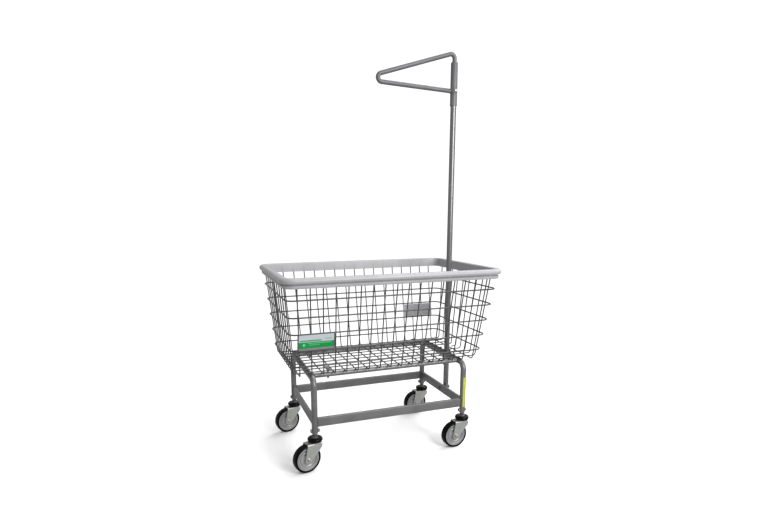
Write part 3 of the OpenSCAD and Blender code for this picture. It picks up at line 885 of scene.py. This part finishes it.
# How far the bar starts inside the sleeve, and how far above it the bar's first bend is
HANGER_TUCK = 40
HANGER_RISE = 37
UPPER_SLOPE, LOWER_SLOPE = 17.4, 2.7
# The bar flattens over its last stretch, and these are the stations along it
FLAT_START = 44.0
FLAT_MARKS = (FLAT_START, 30, 22, 14, 7, 0)
TAB_START, TAB_SWEEP = 165, 125
TAB_T, TAB_H = 3, 20


def make_hanger():
    low, high = box("hanger_sleeve")
    r = (high.x - low.x) / 2
    mesh = Mesh()
    profile = [
        (tube_r + 0.05, low.z), (r - 0.6, low.z), (r, low.z + 0.6), (r, high.z - 6),
        (r - 0.8, high.z - 4), (r - 3.4, high.z - 0.6), (r - 4.4, high.z), (HANGER_BAR_R + 0.05, high.z),
    ]
    turned(mesh, profile, Matrix.Translation((pole.x, 0, 0)), sides=48)
    piece("hanger_sleeve_shown", mesh, hanger_enamel, "cart", ["hanger_sleeve"])

    # The loop: out of the sleeve, down the upper bar, round the tip and back to a flattened tab
    slope, low_slope = math.radians(UPPER_SLOPE), math.radians(LOWER_SLOPE)
    end = Vector((pole.x - r, 0, middle("hanger_bolt").z))
    top = Vector((pole.x, 0, high.z + HANGER_RISE))
    upper = Vector((-math.cos(slope), 0, -math.sin(slope)))
    lower = Vector((-math.cos(low_slope), 0, math.sin(low_slope)))
    reach = (end - top).cross(lower).y / upper.cross(lower).y
    tip = top + upper * reach
    path = fillet([(pole.x, 0, high.z - HANGER_TUCK), top, tip, end], HANGER_BEND, 16)
    points = path[:-1]
    last, goal = points[-1], end + Vector((1.5, 0, 0))
    stretch = (goal - last).length
    points += [last.lerp(goal, 1 - k / stretch) for k in FLAT_MARKS]
    side = Vector((0, 1, 0))
    rows = []
    for i, p in enumerate(points):
        before, after = points[max(i - 1, 0)], points[min(i + 1, len(points) - 1)]
        along = (after - before).normalized()
        over = along.cross(side)
        left = (goal - p).length if i >= len(points) - len(FLAT_MARKS) else FLAT_START
        thin = 1 - 0.3 * max(0.0, 1 - left / FLAT_START)
        tall = 1 + 0.08 * (1 - thin)
        rows.append([p + side * x * thin + over * y * tall for x, y in circle(HANGER_BAR_R, 28)])
    mesh = Mesh()
    mesh.grid(rows, cap=True)
    # Tab wrapped round the sleeve to the bolt
    steps = 20
    ring = []
    for i in range(steps + 1):
        a = math.radians(TAB_START + TAB_SWEEP * i / steps)
        row = []
        for u, v in rounded_square(TAB_T, TAB_H, 1.0, 3):
            radius = r + 1.6 + u
            row.append((pole.x + radius * math.cos(a), radius * math.sin(a), end.z + v))
        ring.append(row)
    mesh.grid(ring, cap=True)
    piece("hanger_loop_shown", mesh, hanger_enamel, "cart", ["hanger_loop"])

    mesh = Mesh()
    bolt(mesh, (pole.x, -r - TAB_T - 0.2, end.z), (pole.x, r, end.z), M6)
    piece("hanger_bolt_shown", mesh, zinc, "cart", ["hanger_bolt"])


# ---------------------------------------------------------------- casters

CORNERS = ("fl", "fr", "rl", "rr")
RACE_GAP = 0.4
FORK_IN = 19.0
FORK_T = 3.0
joints = {j["name"]: j for j in frame["joints"]}


def corner_place(corner):
    """Placing matrix for a caster drawn with its swivel axis at the origin and its wheel towards -X."""
    x, y, _ = joints["swivel_" + corner]["pos_m"]
    ax, ay, _ = joints["spin_" + corner]["axis"]
    turn = math.atan2(-ax, ay)
    return Matrix.Translation((x / MM, y / MM, 0)) @ Matrix.Rotation(turn, 4, "Z")


def caster_trail(corner):
    a, b = joints["swivel_" + corner]["pos_m"], joints["spin_" + corner]["pos_m"]
    return math.hypot(a[0] - b[0], a[1] - b[1]) / MM


wheel_r = box("tyre_fl")[1].z / 2
crown_top = box("fork_fl")[1].z
stem_low, stem_high = box("caster_stems")
bumper_low, bumper_high = box("rubber_bumpers")
washer_low = box("stem_washers")[0]
leg_bottom = frame_foot.z
STEM_R = 9.5
STEM_HOLE = 9.7


def make_stems():
    stems, bumpers, washers, bolts = Mesh(), Mesh(), Mesh(), Mesh()
    rubber_h = bumper_high.z - bumper_low.z
    rubber_r = (bumper_high.y - bumper_low.y) / 2 - leg_y
    for corner in CORNERS:
        x, y, _ = joints["swivel_" + corner]["pos_m"]
        place = Matrix.Translation((x / MM, y / MM, 0))
        inner = tube_r - TUBE_WALL - 0.1
        rivet, race = stem_low.z, crown_top + RACE_GAP
        profile = [
            (0, rivet), (7, rivet), (10, rivet + 1.6), (10, rivet + 5.9), (6, rivet + 5.9),
            (6, race), (21.4, race), (22, race + 0.4), (22, race + 1.1), (21.4, race + 1.5),
            (STEM_R, race + 1.5), (STEM_R, leg_bottom - 2), (10.2, leg_bottom - 1),
            (inner, leg_bottom + 1), (inner, stem_high.z), (0, stem_high.z),
        ]
        turned(stems, profile, place, sides=36)
        # Fat rubber ring: round outside, with a dished top that takes the washer
        z, r, lobe = bumper_low.z, rubber_r, rubber_h / 2
        profile = [(STEM_HOLE, z + 0.4), (r - lobe, z)]
        profile += arc(r - lobe, z + lobe, lobe, -80, 80, 14)
        dish = z + rubber_h - 1.8
        profile += [(18.5, z + rubber_h - 0.4), (15.5, dish), (STEM_HOLE, dish)]
        turned(bumpers, profile, place, sides=56, closed=True)
        z = washer_low.z
        profile = [(STEM_HOLE, z - 1.6), (13.4, z - 1.6), (14, z - 1)]
        profile += [(14, z + 1.4), (13.4, z + 2), (STEM_HOLE, z + 2)]
        turned(washers, profile, place, closed=True)
        out = 1 if x > 0 else -1
        bolt_z = middle("stem_bolts").z
        start = (x / MM + out * tube_r, y / MM, bolt_z)
        bolt(bolts, start, (x / MM - out * tube_r, y / MM, bolt_z), M8)
    piece("caster_stems_shown", stems, enamel, "cart", ["caster_stems"])
    piece("rubber_bumpers_shown", bumpers, rubber, "cart", ["rubber_bumpers"])
    piece("stem_washers_shown", washers, enamel, "cart", ["stem_washers"])
    piece("stem_bolts_shown", bolts, enamel, "cart", ["stem_bolts"])


FOOT_R = 16.0
CROWN_BACK = -44.0
CROWN_FRONT = 21.0
CROWN_NECK = 18.0
TYRE_DEPTH = 9.5
TYRE_HALF_W = 15.5


def fork_sheet(trail):
    """The fork as one bent sheet: rows of points across it, from one leg's foot to the other's.

    Each row runs from the trailing edge to the leading edge at one station of the bend.
    """
    bend = 5.0
    out = FORK_IN + FORK_T
    stations = []
    for k in range(15):
        a = math.radians(-90 + 90 * k / 14)
        stations.append((out, wheel_r + FOOT_R * math.sin(a), FOOT_R * math.cos(a)))
    for k in range(1, 13):
        z = wheel_r + (crown_top - bend - wheel_r) * k / 12
        stations.append((out, z, None))
    for y, z in arc(out - bend, crown_top - bend, bend, 10, 90, 6):
        stations.append((y, z, None))
    for y in (10, 0):
        stations.append((y, crown_top, None))
    stations += [(-y, z, half) for y, z, half in stations[::-1][1:]]

    neck_z = crown_top - CROWN_NECK
    foot_x, foot_z = -trail + 12, wheel_r - 10.5

    def leading(z):
        """Leading edge of a leg: slanted up to the neck, and nearly upright above it."""
        if z > neck_z:
            return CROWN_FRONT + (z - neck_z) / CROWN_NECK
        return foot_x + (CROWN_FRONT - foot_x) * (z - foot_z) / (neck_z - foot_z)

    rows = []
    for y, z, half in stations:
        if half is None:
            k = (z - wheel_r) / (crown_top - wheel_r)
            back = -trail - FOOT_R + (trail + FOOT_R + CROWN_BACK) * k
            front = leading(z)
        else:
            half = max(half, 0.5)
            back = -trail - half
            front = max(-trail + half, leading(z))
        columns = [back + (front - back) * i / 8 for i in range(9)]
        rows.append([Vector((x, y, z)) for x in columns])
    return rows


def inner_face(rows, t):
    """The inside of a bent sheet of thickness t, from the rows of points on its outside."""
    inner = []
    for i, row in enumerate(rows):
        before, after = rows[max(i - 1, 0)], rows[min(i + 1, len(rows) - 1)]
        mid = len(row) // 2
        along = after[mid] - before[mid]
        normal = Vector((0, -along.z, along.y)).normalized()
        inner.append([p + normal * t for p in row])
    return inner


def make_caster(corner):
    place = corner_place(corner)
    trail = caster_trail(corner)
    body = "caster_" + corner
    out = FORK_IN + FORK_T

    rows = fork_sheet(trail)
    inner = inner_face(rows, FORK_T)
    mesh = Mesh()
    ring = [a + b[::-1] for a, b in zip(rows, inner)]
    mesh.grid(ring, cap=True, place=place)
    # Round race plate in the crown, with a rolled edge
    race = [(8, crown_top - 3.5), (25, crown_top - 3.5), (26, crown_top - 2.3), (25.6, crown_top - 0.7)]
    race += [(24, crown_top), (8, crown_top)]
    turned(mesh, race, place, sides=48, closed=True)
    piece("fork_" + corner + "_shown", mesh, zinc, body, ["fork_" + corner])

    axle_at = place @ Vector((-trail, 0, wheel_r))
    across = place.to_3x3() @ Vector((0, 1, 0))
    mesh = Mesh()
    bolt(mesh, axle_at + across * out, axle_at - across * out, M8)
    piece("axle_" + corner + "_shown", mesh, zinc, body, ["axle_" + corner])

    on_axle = aim(axle_at, across)
    mesh = Mesh()
    bush = [(4.1, -18.9), (5.6, -18.9), (6, -18.5), (6, 18.5), (5.6, 18.9), (4.1, 18.9)]
    turned(mesh, bush, on_axle, sides=32, closed=True)
    piece("bush_" + corner + "_shown", mesh, acetal, body, ["bush_" + corner])

    core_r = wheel_r - TYRE_DEPTH
    # Hub, dished web with a raised ring, and a stepped rim that holds the tyre
    half = [
        (6.1, 17.0), (6.6, 17.5), (11.5, 17.5), (12.8, 16.4), (15.0, 9.4), (18, 6.4), (24, 4.6),
        (27.4, 4.8), (29.0, 9.4), (31.0, 10.6), (32.6, 9.6), (33.6, 5.8), (36.6, 5.4), (38.0, 7.4),
        (39.2, 12.6), (41, 13.4), (42.4, 13.4), (43.2, 9.6), (45.3, 9.4), (46.4, 13.2),
        (core_r - 0.9, 13.5), (core_r, 12.7),
    ]
    profile = half + [(r, -y) for r, y in half[::-1]]
    mesh = Mesh()
    turned(mesh, profile, on_axle, sides=96, closed=True)
    piece("wheel_core_" + corner + "_shown", mesh, nylon, "wheel_" + corner, ["wheel_core_" + corner])

    side = [(core_r + 0.05, 13.0), (core_r + 0.4, 14.4)]
    side += [(core_r + 2.2, TYRE_HALF_W - 0.3), (core_r + 5.0, TYRE_HALF_W - 0.2)]
    side += arc(wheel_r - 4.6, TYRE_HALF_W - 4.6, 4.4, 88, 18, 8)
    side += [(wheel_r - 0.1, 9.0), (wheel_r, 5.5)]
    profile = side + [(wheel_r, 0)] + [(r, -y) for r, y in side[::-1]]
    mesh = Mesh()
    turned(mesh, profile, on_axle, sides=112, closed=True)
    piece("tyre_" + corner + "_shown", mesh, tread, "wheel_" + corner, ["tyre_" + corner])


# ---------------------------------------------------------------- floor, light and camera


def stage_sheet(name, corners, colour):
    """A plain flat sheet of the studio, with corners in metres."""
    data = bpy.data.meshes.new(name)
    data.from_pydata(corners, [], [range(len(corners))])
    sheet = bpy.data.objects.new(name, data)
    mat = bpy.data.materials.new(name + "_white")
    mat.use_nodes = True
    shader = mat.node_tree.nodes["Principled BSDF"]
    shader.inputs["Base Color"].default_value = (*colour, 1)
    shader.inputs["Roughness"].default_value = 0.8
    data.materials.append(mat)
    # The white sheet doesn't light the cart from below, as it didn't in the photograph
    sheet.visible_diffuse = False
    sheet.visible_glossy = False
    bpy.context.scene.collection.objects.link(sheet)


def make_stage():
    s = 60.0
    corners = [(-s, -s, 0), (s, -s, 0), (s, s, 0), (-s, s, 0)]
    stage_sheet("floor", corners, (0.95, 0.95, 0.95))


def soft_box(name, at, target, width, height, watts):
    data = bpy.data.lights.new(name, "AREA")
    data.shape = "RECTANGLE"
    data.size = width
    data.size_y = height
    data.energy = watts
    lamp = bpy.data.objects.new(name, data)
    lamp.location = at
    lamp.rotation_euler = (Vector(target) - Vector(at)).to_track_quat("-Z", "Y").to_euler()
    bpy.context.scene.collection.objects.link(lamp)


def make_light():
    """A white room: seen as plain white by the camera, and dimmer where it lights the cart."""
    world = bpy.data.worlds.new("studio")
    bpy.context.scene.world = world
    world.use_nodes = True
    nodes, links = world.node_tree.nodes, world.node_tree.links
    seen = nodes["Background"]
    seen.inputs["Strength"].default_value = 1.1
    seen.inputs["Color"].default_value = (1, 1, 1, 1)
    room = nodes.new("ShaderNodeBackground")
    room.inputs["Strength"].default_value = 0.55
    room.inputs["Color"].default_value = (1, 1, 1, 1)
    ray = nodes.new("ShaderNodeLightPath")
    choice = nodes.new("ShaderNodeMixShader")
    links.new(ray.outputs["Is Camera Ray"], choice.inputs["Fac"])
    links.new(room.outputs["Background"], choice.inputs[1])
    links.new(seen.outputs["Background"], choice.inputs[2])
    links.new(choice.outputs["Shader"], nodes["World Output"].inputs["Surface"])

    sun = bpy.data.lights.new("key", "SUN")
    sun.energy = 2.4
    sun.angle = math.radians(60)
    lamp = bpy.data.objects.new("key", sun)
    lamp.rotation_euler = Vector((-0.62, -0.22, -0.78)).to_track_quat("-Z", "Y").to_euler()
    bpy.context.scene.collection.objects.link(lamp)
    soft_box("front", at=(1.1, -3.1, 2.1), target=(0.2, 0, 0.9), width=1.6, height=2.2, watts=125)


def make_camera():
    """The photograph's viewpoint, from matching the cart's tubes, rings and wheels."""
    yaw, pitch_down, roll = math.radians(19.12), math.radians(11.03), math.radians(-0.23)
    data = bpy.data.cameras.new("camera")
    data.sensor_width = 36
    data.lens = 24.31
    data.shift_x = 0.0197
    data.shift_y = 0.06
    camera = bpy.data.objects.new("camera", data)
    camera.location = (-0.795, -2.1536, 1.0553)
    across = math.cos(pitch_down)
    look = Vector((math.sin(yaw) * across, math.cos(yaw) * across, -math.sin(pitch_down)))
    camera.rotation_mode = "QUATERNION"
    camera.rotation_quaternion = look.to_track_quat("-Z", "Y") @ Quaternion((0, 0, 1), roll)
    bpy.context.scene.collection.objects.link(camera)
    bpy.context.scene.camera = camera


make_camera()
make_light()
make_stage()
bpy.context.scene.view_settings.view_transform = "Standard"

make_cross_wires()
make_long_wires()
make_rings()
make_welds()
make_rim()
make_floor_clips()
make_front_sign()
make_rear_plate()
make_end_frames()
make_rails()
make_leg_label()
make_pole()
make_hanger()
make_stems()
for corner in CORNERS:
    make_caster(corner)
